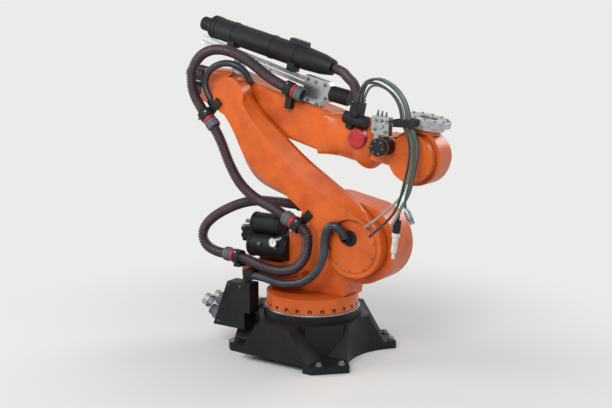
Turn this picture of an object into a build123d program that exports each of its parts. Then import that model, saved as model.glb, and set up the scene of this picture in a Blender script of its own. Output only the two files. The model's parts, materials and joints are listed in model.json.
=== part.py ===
import os
from math import atan2, cos, pi, radians, sin, tan

from build123d import *

os.makedirs("parts", exist_ok=True)

# Axis geometry of the arm
shoulder_offset = 350
shoulder_height = 675
link_length = 1150
link_lean = 46.5
arm_length = 1200
arm_drop = 41
arm_pitch = 12
flange_reach = 215
seat_gap = 0.3

# Base frame
base_width = 830
corner_cut = 150
foot_height = 46
skirt_lift = 38
skirt_half = 408
rear_foot_half = 311
foot_recess_front = 205
base_height = 262
deck_half = 300
deck_drop = 40
side_foot_half = 235
side_top_half = 107
hollow_depth = 112
hollow_half = 265
neck_radius = 286
bolt_radius = 11
bolt_edge = 45
bolt_corner = 135
bearing_radius = 277
bearing_height = 8
bearing_bore = 200

# Connection box behind the base
box_near = 262
box_far = 170
box_low = 122
box_high = 400
box_lip = 153
box_overhang_low = 121
box_overhang_high = 11
box_depth_low = 113
connector_radius = 42
connector_length = 66
connector_spacing = 92

# Turning column
ring_radius = 268
ring_height = 86
pocket_count = 24
pocket_width = 24
pocket_height = 22
pocket_depth = 14
cheek_near = 62
cheek_far = 140
cheek_radius = 226
cheek_top_radius = 205
cheek_top_x = 155
cheek_top_z = 735
boss_radius = 172
deck_bottom = 412
deck_top = 478
deck_rear = 430
deck_near = 150
deck_far = 215
back_wall = 120
motor_radius = 72
motor_flange = 88
shoulder_motor_length = 190
socket_radius = 38
socket_height = 852
socket_side = 22
socket_rear = 80

# Weight balance cylinder behind the column
balance_radius = 72
balance_height = 590
balance_side = 40
balance_rear = 400
bottle_radius = 60
bottle_height = 722.3
bottle_length = 190
gauge_radius = 26
gauge_face = 137
gauge_x = -186
gauge_height = 634
junction_length = 84
junction_near = 34
junction_width = 84
junction_low = 596
junction_high = 690

# Link arm, seen from the near side
link_near = 160
link_far = 68
link_shoulder = 100
link_root_radius = 178
link_root_near = 140
link_head_radius = 110
cover_radius = 150
cover_height = 8
cover_face = 134
cable_exit_rear = 50
cable_exit_up = 62
cable_exit_radius = 40

# Arm housing and wrist
arm_near = 60
arm_far = 128
arm_head_radius = 124
arm_rear = 290
arm_rear_half = 96
arm_head_rear = 110
housing_fillet = 26
split_gap = 105
elbow_front = 120
elbow_top = 98
arm_top = 62
arm_low = 172
roll_gap = 455
roll_radius = 126
elbow_pocket_radius = 146
elbow_pocket_depth = 24
elbow_boss_radius = 104
nose_radius = 97
nose_half = 68
nose_start = 238
web_start = 228
slot_start = 156
fork_near = 118
fork_slot = 67
fork_radius = 128
swivel_radius = 150
swivel_gap = 3
neck_inner_radius = 60
neck_disc_radius = 80
neck_disc_height = 24
neck_top = 158
flange_height = 24
flange_radius = 96
flange_bolt_circle = 160
flange_bolt_radius = 5
flange_bolts = 12
adaptor_radius = 124
adaptor_bore = 50

# Retracting hose tube and the rail that carries it
knob_radius = 40
knob_length = 62
retract_radius = 66
tube_taper = 110
tube_nose = 70
tube_end_radius = 44
rail_rear = -375
rail_front = 418
rail_rear_up = 253
rail_front_up = 180
rail_height = 22
rail_gap = 8
rail_half = 8

# Hoses and cables
hose_diameter = 60
shoulder_cable_diameter = 46
elbow_cable_diameter = 40
clamp_length = 46
clamp_wall = 13
ring_length = 22
ring_wall = 9
ring_clearance = 2
cable_diameter = 14
cable_spacing = 16

# Reference frames: x runs along the arm, y across it, z sideways
lean_sin = sin(radians(link_lean))
lean_cos = cos(radians(link_lean))
pitch_sin = sin(radians(arm_pitch))
pitch_cos = cos(radians(arm_pitch))
shoulder_point = Vector(shoulder_offset, 0, shoulder_height)
elbow_point = shoulder_point + Vector(-lean_sin, 0, lean_cos) * link_length
link_frame = Plane(origin=shoulder_point, x_dir=(-lean_sin, 0, lean_cos), z_dir=(0, 1, 0))
arm_frame = Plane(origin=elbow_point, x_dir=(pitch_cos, 0, -pitch_sin), z_dir=(0, -1, 0))
roll_frame = Plane(
    origin=arm_frame.from_local_coords(Vector(0, -arm_drop, 0)),
    x_dir=(pitch_sin, 0, pitch_cos),
    z_dir=(pitch_cos, 0, -pitch_sin),
)
wrist_point = arm_frame.from_local_coords(Vector(arm_length, -arm_drop, 0))
wrist_frame = Plane(origin=wrist_point, x_dir=(pitch_cos, 0, -pitch_sin), z_dir=(0, -1, 0))
flange_frame = Plane(
    origin=wrist_frame.from_local_coords(Vector(0, flange_reach, 0)),
    x_dir=(pitch_cos, 0, -pitch_sin),
    z_dir=(pitch_sin, 0, pitch_cos),
)


def on_link(along, forward, side):
    """A point given in the link arm's own frame."""
    return link_frame.from_local_coords(Vector(along, forward, side))


def on_wrist(ahead, up, near):
    """A point measured from the wrist's bend axis, along the arm."""
    return wrist_frame.from_local_coords(Vector(ahead, up, near))



def on_arm(along, up, near):
    """A point given in the arm's own frame."""
    return arm_frame.from_local_coords(Vector(along, up, near))


def corner_radii(points):
    """Largest even arc radius at each corner of a route."""
    radii = []
    for before, corner, after in zip(points, points[1:], points[2:]):
        run_in = Vector(*corner) - Vector(*before)
        run_out = Vector(*after) - Vector(*corner)
        half_turn = radians(run_in.get_angle(run_out)) / 2
        radii.append(0.45 * min(run_in.length, run_out.length) / tan(half_turn))
    return radii


def save(part, name):
    """Label a finished piece and write its file."""
    part.label = name
    export_step(part, f"parts/{name}.step")


def flexible(name, points, diameter):
    """A hose or cable along straight runs joined by tangent arcs."""
    points = [tuple(Vector(*point)) for point in points]
    radii = corner_radii(points)
    with BuildPart() as tube:
        with BuildLine() as route:
            FilletPolyline(*points, radius=radii)
        path = route.wire()
        with BuildSketch(Plane(origin=path @ 0, z_dir=path % 0)):
            Circle(diameter / 2)
        sweep()
    straight_volume = path.length * pi * diameter ** 2 / 4
    print(name, "length", round(path.length), "bend radii", [round(radius) for radius in radii],
          "volume ratio", round(tube.part.volume / straight_volume, 4))
    save(tube.part, name)


# Base frame: corner feet, raised side skirts, deck and neck
floor_bolt_long = base_width / 2 - bolt_edge
floor_bolt_short = base_width / 2 - bolt_corner
hollow_radius = (hollow_half ** 2 + hollow_depth ** 2) / (2 * hollow_depth)
deck_height = base_height - deck_drop
with BuildPart() as base_frame:
    with BuildSketch() as foot_outline:
        Rectangle(base_width, base_width)
        chamfer(foot_outline.vertices(), corner_cut)
        recess_length = foot_recess_front + base_width / 2
        recess_depth = base_width / 2 - rear_foot_half
        for side in (-1, 1):
            with Locations((foot_recess_front - recess_length / 2, side * (rear_foot_half + recess_depth / 2))):
                Rectangle(recess_length, recess_depth, mode=Mode.SUBTRACT)
    extrude(amount=foot_height)
    with BuildSketch(Plane.XZ.offset(-skirt_half)):
        with BuildLine():
            Polyline((-side_foot_half, skirt_lift), (side_foot_half, skirt_lift), (side_top_half, deck_height),
                     (-side_top_half, deck_height), close=True)
        make_face()
    extrude(amount=2 * skirt_half)
    with BuildSketch(Plane.YZ.offset(-base_width / 2)):
        with BuildLine():
            Polyline((-side_foot_half, 0), (side_foot_half, 0), (side_top_half, deck_height),
                     (-side_top_half, deck_height), close=True)
        make_face()
    extrude(amount=base_width)
    with BuildSketch() as deck_outline:
        Rectangle(2 * deck_half, 2 * deck_half)
        chamfer(deck_outline.vertices(), corner_cut)
    extrude(amount=deck_height)
    with BuildSketch():
        Circle(neck_radius)
    extrude(amount=base_height)
    with BuildSketch():
        with Locations((base_width / 2 + hollow_radius - hollow_depth, 0)):
            Circle(hollow_radius)
    extrude(amount=deck_height, mode=Mode.SUBTRACT)
    with BuildSketch():
        with GridLocations(2 * floor_bolt_long, 2 * floor_bolt_short, 2, 2):
            Circle(bolt_radius)
        with Locations((floor_bolt_short, -floor_bolt_long), (floor_bolt_short, floor_bolt_long)):
            Circle(bolt_radius)
    extrude(amount=foot_height, mode=Mode.SUBTRACT)
save(base_frame.part, "base_frame")

ring_bottom = base_height + bearing_height + seat_gap
with BuildPart() as bearing_ring:
    with BuildSketch(Plane.XY.offset(base_height)):
        Circle(bearing_radius)
        Circle(bearing_bore, mode=Mode.SUBTRACT)
    extrude(amount=bearing_height)
save(bearing_ring.part, "bearing_ring")

box_rear_low = base_width / 2 + box_overhang_low
box_rear_high = base_width / 2 + box_overhang_high
box_front = base_width / 2 - box_lip
box_front_low = base_width / 2 - box_depth_low
with BuildPart() as connection_box:
    with BuildSketch(Plane.XZ.offset(box_far)):
        with BuildLine():
            Polyline((-box_front_low, box_low), (-box_rear_low, box_low), (-box_rear_high, box_high),
                     (-box_front, box_high), (-box_front, deck_height + seat_gap),
                     (-box_front_low, deck_height + seat_gap), close=True)
        make_face()
    extrude(amount=box_near - box_far)
save(connection_box.part, "connection_box")

# Round plugs on the sloping rear wall of the box
box_slope = atan2(box_rear_low - box_rear_high, box_high - box_low)
box_wall = Plane(
    origin=(-(box_rear_low + box_rear_high) / 2, -(box_near + box_far) / 2, (box_low + box_high) / 2),
    x_dir=(0, 1, 0),
    z_dir=(-cos(box_slope), 0, sin(box_slope)),
)
with BuildPart() as box_connectors:
    with BuildSketch(box_wall.offset(seat_gap)):
        with Locations((0, connector_spacing), (0, 0)):
            Circle(connector_radius)
    extrude(amount=connector_length / 2)
    with BuildSketch(box_wall.offset(connector_length / 2 + seat_gap)):
        with Locations((0, connector_spacing), (0, 0)):
            Circle(connector_radius * 0.8)
    extrude(amount=connector_length / 2)
save(box_connectors.part, "box_connectors")

stop_width = 54
stop_depth = 44
with BuildPart() as stop_block:
    with Locations((-base_width / 2 + stop_width, -stop_depth, (deck_height + base_height) / 2 + seat_gap / 2)):
        Box(stop_width, stop_depth, deck_drop - seat_gap)
save(stop_block.part, "stop_block")

# Column: bolted ring, rear deck and the cheek that carries the shoulder gear
with BuildPart() as column_casting:
    with BuildSketch(Plane.XY.offset(ring_bottom)):
        Circle(ring_radius)
    extrude(amount=ring_height)
    with BuildSketch(Plane.XZ.offset(-cheek_far)):
        with Locations((shoulder_offset, shoulder_height)):
            Circle(cheek_radius)
        with Locations((cheek_top_x, cheek_top_z)):
            Circle(cheek_top_radius)
        make_hull()
    extrude(amount=cheek_far + cheek_near)
    with BuildSketch(Plane.XZ.offset(-cheek_far)):
        ring_top = ring_bottom + ring_height
        with BuildLine():
            Polyline((-ring_radius + 18, ring_top - 10), (ring_radius - 18, ring_top - 10), (262, deck_bottom), (308, 462),
                     (shoulder_offset, shoulder_height), (cheek_top_x, cheek_top_z), (-back_wall, 690),
                     (-back_wall, deck_top), (-ring_radius + 18, deck_top), close=True)
        make_face()
    extrude(amount=cheek_far + cheek_near)
    with BuildSketch(Plane.XY.offset(deck_bottom)) as rear_deck:
        with Locations((-deck_rear / 2, (deck_far - deck_near) / 2)):
            Rectangle(deck_rear, deck_far + deck_near)
        fillet(rear_deck.vertices(), 60)
    extrude(amount=deck_top - deck_bottom)
    with BuildSketch(Plane.XZ.offset(cheek_near)):
        with Locations((shoulder_offset, shoulder_height)):
            Circle(boss_radius)
    extrude(amount=link_far - cheek_near - seat_gap)
    with PolarLocations(ring_radius, pocket_count):
        with Locations(Location((0, 0, ring_bottom + pocket_height / 2 + 8))):
            Box(2 * pocket_depth, pocket_width, pocket_height, mode=Mode.SUBTRACT)
save(column_casting.part, "column_casting")


def motor(name, frame, length, radius, flange):
    """A servo motor: square flange, round body and a domed end cap."""
    with BuildPart() as body:
        with BuildSketch(frame.offset(seat_gap)) as foot:
            Rectangle(2 * flange, 2 * flange)
            fillet(foot.vertices(), flange / 4)
        extrude(amount=flange / 4)
        with BuildSketch(frame.offset(seat_gap + flange / 4)):
            Circle(radius)
        extrude(amount=length - flange / 4)
        fillet(body.faces().sort_by(Axis(frame.origin, frame.z_dir))[-1].edges(), radius / 4)
    save(body.part, name)


motor(
    "turntable_motor",
    Plane(origin=(-deck_rear + 105, deck_far - 98, deck_top), x_dir=(1, 0, 0), z_dir=(0, 0, 1)),
    230, motor_radius, motor_flange,
)
motor(
    "shoulder_motor",
    Plane(origin=(shoulder_offset, cheek_far, shoulder_height), x_dir=(1, 0, 0), z_dir=(0, 1, 0)),
    shoulder_motor_length, motor_radius + 8, motor_flange + 12,
)

with BuildPart() as balance_cylinder:
    with BuildSketch(Plane.YZ.offset(-balance_rear)):
        with Locations((-balance_side, balance_height)):
            Circle(balance_radius)
    extrude(amount=balance_rear - back_wall - seat_gap)
save(balance_cylinder.part, "balance_cylinder")

with BuildPart() as pressure_bottle:
    with BuildSketch(Plane.YZ.offset(-balance_rear + 20)):
        with Locations((-balance_side, bottle_height)):
            Circle(bottle_radius)
    extrude(amount=bottle_length)
    fillet(pressure_bottle.edges(), bottle_radius / 3)
save(pressure_bottle.part, "pressure_bottle")

with BuildPart() as pressure_gauge:
    with BuildSketch(Plane.XZ.offset(balance_side)):
        with Locations((gauge_x, gauge_height)):
            Circle(gauge_radius)
    extrude(amount=gauge_face - balance_side)
    with BuildSketch(Plane.YZ.offset(-balance_rear)):
        with Locations((-balance_side, balance_height)):
            Circle(balance_radius + seat_gap)
    extrude(amount=balance_rear, mode=Mode.SUBTRACT)
save(pressure_gauge.part.solids().sort_by(Axis.Y)[0], "pressure_gauge")

with BuildPart() as junction_box:
    with BuildSketch(Plane.XZ.offset(junction_near)):
        with Locations((-balance_rear - junction_length / 2, (junction_low + junction_high) / 2)):
            RectangleRounded(junction_length - 2 * seat_gap, junction_high - junction_low, 8)
    extrude(amount=-junction_width)
    with BuildSketch(Plane.YZ.offset(-balance_rear - junction_length - 24)):
        with Locations((0, (junction_low + junction_high) / 2 - 20),
                       (0, (junction_low + junction_high) / 2 + 20)):
            Circle(15)
    extrude(amount=25)
save(junction_box.part, "junction_box")

with BuildPart() as hose_socket:
    with BuildSketch(Plane.YZ.offset(-socket_rear)):
        with Locations((-socket_side, socket_height)):
            Circle(socket_radius)
    extrude(amount=2 * socket_rear)
    add(column_casting.part, mode=Mode.SUBTRACT)
save(hose_socket.part.solids().sort_by(Axis.X)[0], "hose_socket")

# Link arm: bowed casting with a wide root and a round head
link_front_edge = [(0, 176), (277, 150), (400, 126), (556, 98), (853, 74), (1000, 68), (1120, 100)]
link_rear_edge = [(1120, -106), (1040, -121), (960, -158), (850, -212), (740, -234), (640, -216), (485, -146),
                  (340, -118), (90, -150)]
front_slope = [(0, 6), (277, 66), (400, 78), (556, 76), (853, 50), (1000, 34), (1120, 14)]
rear_slope = [(1120, 8), (1040, 14), (960, 30), (850, 48), (740, 58), (640, 56), (485, 30), (340, 18), (90, 6)]
front_ridge = [(along, edge - step[1]) for (along, edge), step in zip(link_front_edge, front_slope)]
rear_ridge = [(along, edge + step[1]) for (along, edge), step in zip(link_rear_edge, rear_slope)]
with BuildPart() as link_arm:
    with BuildSketch(link_frame.offset(-link_shoulder)) as link_outline:
        with BuildLine():
            Spline(link_front_edge)
            Line(link_front_edge[-1], link_rear_edge[0])
            Spline(link_rear_edge)
            Line(link_rear_edge[-1], link_front_edge[0])
        make_face()
    extrude(amount=link_shoulder - link_far)
    with BuildSketch(link_frame.offset(-link_shoulder)):
        add(link_outline.sketch_local)
    with BuildSketch(link_frame.offset(-link_near)):
        with BuildLine():
            Spline(front_ridge)
            Line(front_ridge[-1], rear_ridge[0])
            Spline(rear_ridge)
            Line(rear_ridge[-1], front_ridge[0])
        make_face()
    loft()
    with BuildSketch(link_frame.offset(-link_near)):
        with Locations((link_length, 0)):
            Circle(link_head_radius)
    extrude(amount=link_near - link_far)
    with BuildSketch(link_frame.offset(-link_root_near)):
        Circle(link_root_radius)
    extrude(amount=link_root_near - link_far)
    with BuildSketch(link_frame.offset(-link_near)):
        Circle(cover_radius + 2)
    extrude(amount=link_near - cover_face, mode=Mode.SUBTRACT)
save(link_arm.part, "link_arm")

with BuildPart() as shoulder_cover:
    with BuildSketch(Plane.XZ.offset(cover_face + seat_gap)):
        with Locations((shoulder_offset, shoulder_height)):
            Circle(cover_radius)
        with Locations((shoulder_offset - cable_exit_rear, shoulder_height + cable_exit_up)):
            Circle(cable_exit_radius, mode=Mode.SUBTRACT)
    extrude(amount=cover_height)
save(shoulder_cover.part, "shoulder_cover")

# Arm housing: flat sided behind, round where the wrist turns
roll_start = arm_length - roll_gap
arm_split = roll_start - split_gap


def arm_top_at(along):
    """Height of the housing's top edge above the arm's line."""
    if along < elbow_front:
        slope = (elbow_top - arm_head_radius) / (elbow_front + arm_head_rear)
        return arm_head_radius + slope * (along + arm_head_rear)
    slope = (arm_top - elbow_top) / (arm_split - elbow_front)
    return elbow_top + slope * (along - elbow_front)


with BuildPart() as arm_housing:
    with BuildSketch(arm_frame.offset(-arm_far)):
        with BuildLine():
            Polyline((-arm_rear, -arm_rear_half), (-arm_head_rear, -arm_head_radius),
                     (elbow_front, -arm_head_radius), (arm_split * 0.6, -arm_low + 14), (arm_split, -arm_low),
                     (arm_split, arm_top), (elbow_front, elbow_top), (-arm_head_rear, arm_head_radius),
                     (-arm_rear, arm_rear_half), close=True)
        make_face()
    extrude(amount=arm_far + arm_near)
    fillet(arm_housing.faces().sort_by(Axis.Y)[0].edges(), housing_fillet)
    with BuildSketch(Plane(origin=on_arm(arm_split, 0, 0), x_dir=arm_frame.y_dir,
                           z_dir=arm_frame.x_dir)):
        with Locations(((arm_top - arm_low) / 2, (arm_far - arm_near) / 2)):
            RectangleRounded(arm_top + arm_low - 2, arm_far + arm_near - 2, housing_fillet)
    with BuildSketch(roll_frame.offset(roll_start)):
        Circle(roll_radius)
    loft()
    with BuildSketch(arm_frame.offset(arm_near - elbow_pocket_depth)):
        with Locations((12, -8)):
            Circle(elbow_pocket_radius)
    extrude(amount=elbow_pocket_depth, mode=Mode.SUBTRACT)
    with BuildSketch(arm_frame.offset(arm_near - elbow_pocket_depth)):
        Circle(elbow_boss_radius)
    extrude(amount=elbow_pocket_depth + link_far - arm_near - seat_gap)
save(arm_housing.part, "arm_housing")

motor("elbow_motor", arm_frame.offset(-arm_far).rotated((180, 0, 0)), 170, motor_radius, motor_flange)
rear_wall = Plane(origin=on_arm(-arm_rear, 0, 0), x_dir=(0, 1, 0), z_dir=-arm_frame.x_dir)
wrist_motor_radius = 40
wrist_motor_length = 120
with BuildPart() as wrist_motors:
    with BuildSketch(rear_wall.offset(seat_gap)):
        with Locations((-14, -48), (82, -48), (34, 48)):
            RectangleRounded(2.1 * wrist_motor_radius, 2.1 * wrist_motor_radius, wrist_motor_radius / 4)
    extrude(amount=wrist_motor_radius / 4)
    with BuildSketch(rear_wall.offset(seat_gap + wrist_motor_radius / 4)):
        with Locations((-14, -48), (82, -48), (34, 48)):
            Circle(wrist_motor_radius)
    extrude(amount=wrist_motor_length)
save(wrist_motors.part, "wrist_motors")

# Wrist: a tube that rolls and a fork that holds the swivel
belly = [(350, roll_radius, 0), (295, 133, 13), (255, 118, 19), (nose_start, 104, 11)]
with BuildPart() as wrist_fork:
    with BuildSketch(roll_frame.offset(roll_start + seat_gap)):
        Circle(roll_radius)
    extrude(amount=roll_gap - belly[0][0] - seat_gap)
    for back, radius, sag in belly:
        with BuildSketch(roll_frame.offset(arm_length - back)):
            with Locations((-sag, 0)):
                Circle(radius)
    loft()
    with BuildSketch(roll_frame.offset(arm_length - nose_start)):
        Circle(nose_radius)
        Rectangle(2 * nose_half, 3 * nose_radius, mode=Mode.INTERSECT)
    extrude(amount=nose_start - slot_start)
    with BuildSketch(wrist_frame.offset(-fork_near)):
        Circle(fork_radius)
        with Locations((-web_start / 2, 0)):
            Rectangle(web_start, 2 * nose_half)
    extrude(amount=2 * fork_near)
    with BuildSketch(wrist_frame.offset(-fork_slot)):
        with Locations((fork_radius * 2 - slot_start, 0)):
            Rectangle(fork_radius * 4, fork_radius * 4)
    extrude(amount=2 * fork_slot, mode=Mode.SUBTRACT)
save(wrist_fork.part, "wrist_fork")

swivel_half = fork_slot - swivel_gap
with BuildPart() as swivel:
    with BuildSketch(wrist_frame.offset(-swivel_half)):
        Circle(swivel_radius)
    extrude(amount=2 * swivel_half)
    with BuildSketch(flange_frame.offset(neck_top - flange_reach)):
        Circle(neck_inner_radius)
    extrude(amount=-neck_top)
    with BuildSketch(flange_frame.offset(neck_top - flange_reach)):
        Circle(neck_disc_radius)
    extrude(amount=-neck_disc_height)
save(swivel.part, "swivel")

with BuildPart() as mounting_flange:
    with BuildSketch(flange_frame.offset(neck_top + seat_gap - flange_reach)):
        Circle(flange_radius)
    extrude(amount=flange_height)
save(mounting_flange.part, "mounting_flange")

with BuildPart() as adaptor_plate:
    with BuildSketch(flange_frame):
        Circle(adaptor_radius)
        Circle(adaptor_bore, mode=Mode.SUBTRACT)
        with PolarLocations(flange_bolt_circle / 2, flange_bolts):
            Circle(flange_bolt_radius, mode=Mode.SUBTRACT)
    extrude(amount=neck_top + seat_gap + flange_height - flange_reach)
save(adaptor_plate.part, "adaptor_plate")

# Clamps and rings that hold the hoses


def block(frame, low, high):
    """A box between two corners given in a frame."""
    size = [end - start for start, end in zip(low, high)]
    middle = [(end + start) / 2 for start, end in zip(low, high)]
    return frame.location * Pos(*middle) * Box(*size, mode=Mode.PRIVATE)


def between(start, end):
    """Middle point and direction of a straight run."""
    start = Vector(*start)
    end = Vector(*end)
    return (start + end) / 2, (end - start).normalized()


def clamp(name, centre, way, foot):
    """A collar round a hose and the foot that bolts it down."""
    with BuildPart() as holder:
        add(foot)
        with BuildSketch(Plane(origin=centre - way * (clamp_length / 2), z_dir=way)):
            Circle(hose_diameter / 2 + clamp_wall)
        extrude(amount=clamp_length)
        with BuildSketch(Plane(origin=centre - way * (2 * clamp_length), z_dir=way)):
            Circle(hose_diameter / 2 + seat_gap)
        extrude(amount=4 * clamp_length, mode=Mode.SUBTRACT)
    save(holder.part, name)


def coloured_ring(centre, way):
    """A loose ring round a hose, next to its clamp."""
    start = centre + way * (clamp_length / 2 + ring_clearance)
    with BuildPart() as ring:
        with BuildSketch(Plane(origin=start, z_dir=way)):
            Circle(hose_diameter / 2 + ring_wall)
            Circle(hose_diameter / 2 + 1, mode=Mode.SUBTRACT)
        extrude(amount=ring_length)
    return ring.part


# Corrugated hoses: each held by a clamp in the middle of a straight run
hose_near = 192
world = Plane.XY
loop_route = [(-socket_rear - seat_gap, -socket_side, socket_height), (-134, -22, 852), (-204, -52, 860),
              (-285, -95, 866), (-380, -104, 856), (-493, -135, 815), (-618, -170, 738), (-668, -192, 655),
              (-645, -hose_near, 580), (-560, -hose_near, 545)]
column_run = [(-450, -hose_near, 542), (-335, -hose_near, 530)]
bend_route = [(-220, -hose_near, 496), (-100, -hose_near, 484), (10, -hose_near, 512), (80, -hose_near, 590),
              (92, -hose_near, 680)]
link_run = [on_link(235, -135, -hose_near), on_link(365, -178, -hose_near)]
link_route = [on_link(480, -212, -hose_near), on_link(600, -270, -hose_near), on_link(735, -290, -hose_near),
              on_link(870, -258, -hose_near), on_link(1000, -202, -hose_near)]
head_run = [on_link(link_length - 30, -178, -hose_near), on_link(link_length + 80, -172, -hose_near)]
elbow_route = [on_arm(-250, -20, 186), on_arm(-282, 90, 178), on_arm(-240, 195, 168), on_arm(-140, 252, 158),
               on_arm(-10, 255, 146), on_arm(110, 222, 134), on_arm(230, 168, 124)]
arm_run = [on_arm(330, 142, 116), on_arm(430, 128, 110)]
column_clamp, column_clamp_way = between(*column_run)
link_clamp, link_clamp_way = between(*link_run)
head_clamp, head_clamp_way = between(*head_run)
arm_clamp, arm_clamp_way = between(*arm_run)
flexible("column_hose", loop_route + [column_run[0], column_clamp], hose_diameter)
flexible("shoulder_hose", [column_clamp, column_run[1]] + bend_route + [link_run[0], link_clamp], hose_diameter)
flexible("link_hose", [link_clamp, link_run[1]] + link_route + [head_run[0], head_clamp], hose_diameter)
flexible("elbow_hose", [head_clamp, head_run[1]] + elbow_route + [arm_run[0], arm_clamp], hose_diameter)

column_foot = block(world, (-414, -hose_near - 23, deck_top + seat_gap), (-370, -120, 536))
link_foot = block(link_frame, (276, -150, -link_near - 12), (322, -60, -link_near - seat_gap))
head_foot = block(link_frame, (link_length, -165, -link_near - 15),
                  (link_length + 48, -60, -link_near - seat_gap))
arm_foot = block(arm_frame, (357, 20, arm_near + seat_gap), (396, 120, 100))
clamp("column_hose_clamp", column_clamp, column_clamp_way, column_foot)
clamp("link_hose_clamp", link_clamp, link_clamp_way, link_foot)
clamp("head_hose_clamp", head_clamp, head_clamp_way, head_foot)
clamp("arm_hose_clamp", arm_clamp, arm_clamp_way, arm_foot)
save(coloured_ring(column_clamp, -column_clamp_way), "column_red_ring")
save(coloured_ring(arm_clamp, arm_clamp_way), "arm_red_ring")
link_rings = Compound(children=[coloured_ring(link_clamp, link_clamp_way),
                                coloured_ring(head_clamp, -head_clamp_way)])
save(link_rings, "link_red_rings")

# Smooth cables across the shoulder and the elbow
cable_socket_front = 280
cable_near = 197
shoulder_cable_route = [(314, -158, 722), (303, -176, 760), (276, -192, 788), (240, -cable_near, 788),
                        (215, -cable_near, 752), (205, -cable_near, 698), (205, -cable_near, 618),
                        (167, -cable_near, 528), (90, -cable_near, 455), (-20, -cable_near, 418),
                        (-125, -cable_near, 418), (-208, -cable_near, 436),
                        (-cable_socket_front + seat_gap, -cable_near, 436)]
flexible("shoulder_cable", shoulder_cable_route, shoulder_cable_diameter)
socket_block = block(world, (-cable_socket_front - 64, -220, deck_bottom),
                     (-cable_socket_front, -deck_near - seat_gap, deck_bottom + 56))
save(socket_block, "cable_socket")

elbow_cable_route = [on_arm(-140, -58, 130), on_arm(-192, -8, 130), on_arm(-210, 58, 130),
                     on_arm(-176, 124, 130), on_arm(-114, 168, 128), on_arm(-52, 184, 120),
                     on_arm(4, 172, 96), on_arm(42, 142, 68), on_arm(66, 96, 44)]
with BuildPart() as elbow_cable:
    with BuildLine() as route:
        FilletPolyline(*elbow_cable_route, radius=corner_radii(elbow_cable_route))
    path = route.wire()
    with BuildSketch(Plane(origin=path @ 0, z_dir=path % 0)):
        Circle(elbow_cable_diameter / 2)
    sweep()
    add(Pos(0, 0, seat_gap) * arm_housing.part, mode=Mode.SUBTRACT)
print("elbow_cable bend radii", [round(radius) for radius in corner_radii(elbow_cable_route)])
save(elbow_cable.part, "elbow_cable")

socket_way = (Vector(*elbow_cable_route[1]) - Vector(*elbow_cable_route[0])).normalized()
socket_end = Vector(*elbow_cable_route[0]) - socket_way * seat_gap
with BuildPart() as elbow_socket:
    with BuildSketch(Plane(origin=socket_end, z_dir=-socket_way)):
        Circle(elbow_cable_diameter / 2 + 8)
    extrude(amount=44)
    add(block(arm_frame, (-136, -96, 112), (-84, -56, 148)))
    with BuildSketch(link_frame.offset(-link_near)):
        with Locations((link_length, 0)):
            Circle(link_head_radius + seat_gap)
    extrude(amount=link_near, mode=Mode.SUBTRACT)
save(elbow_socket.part, "elbow_socket")

# Retracting hose tube above the arm, and the rail that carries it
tube_rear = on_arm(-395, 350, -20)
tube_front = on_arm(560, 292, -20)
tube_way = (tube_front - tube_rear).normalized()
tube_frame = Plane(origin=tube_rear, x_dir=tube_way, z_dir=(0, -1, 0))
tube_length = (tube_front - tube_rear).length
with BuildPart() as retract_tube:
    with BuildSketch(tube_frame):
        with BuildLine():
            Polyline((0, 0), (0, knob_radius), (knob_length, knob_radius), (knob_length + 20, retract_radius),
                     (tube_length - tube_nose - tube_taper, retract_radius),
                     (tube_length - tube_nose, tube_end_radius + 14),
                     (tube_length, tube_end_radius), (tube_length, 0), close=True)
        make_face()
    revolve(axis=Axis(tube_rear, tube_way))
    with BuildSketch(tube_frame.offset(-24)):
        with BuildLine():
            Polyline((640, 0), (645, retract_radius + 22), (760, retract_radius + 22), (775, 0), close=True)
        make_face()
    extrude(amount=48)
save(retract_tube.part, "retract_tube")

rail_way = (on_arm(rail_front, rail_front_up, 0) - on_arm(rail_rear, rail_rear_up, 0)).normalized()
rail_length = (on_arm(rail_front, rail_front_up, 0) - on_arm(rail_rear, rail_rear_up, 0)).length
rail_frame = Plane(origin=on_arm(rail_rear, rail_rear_up, 0), x_dir=rail_way, z_dir=(0, -1, 0))
rail_edge = rail_gap / 2 + rail_height
with BuildPart() as guide_rail:
    with BuildSketch(rail_frame.offset(-rail_half)):
        with Locations((rail_length / 2, 0)):
            with GridLocations(1, rail_gap + rail_height, 1, 2):
                Rectangle(rail_length, rail_height)
    extrude(amount=2 * rail_half)
save(guide_rail.part, "guide_rail")

carrier_depth = 34
with BuildPart() as tube_carriers:
    for carrier_start in (210, 655):
        add(block(rail_frame, (carrier_start, rail_edge + seat_gap, -carrier_depth),
                  (carrier_start + 50, rail_edge + 70, carrier_depth)))
    with BuildSketch(Plane(origin=tube_rear, z_dir=tube_way)):
        Circle(retract_radius + seat_gap)
    extrude(amount=tube_length, mode=Mode.SUBTRACT)
save(tube_carriers.part, "tube_carriers")


def rail_under_at(along):
    """Height of the rail's underside above the arm's line."""
    slope = (rail_front_up - rail_rear_up) / (rail_front - rail_rear)
    return rail_rear_up + slope * (along - rail_rear) - rail_edge - 2 * seat_gap


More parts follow.
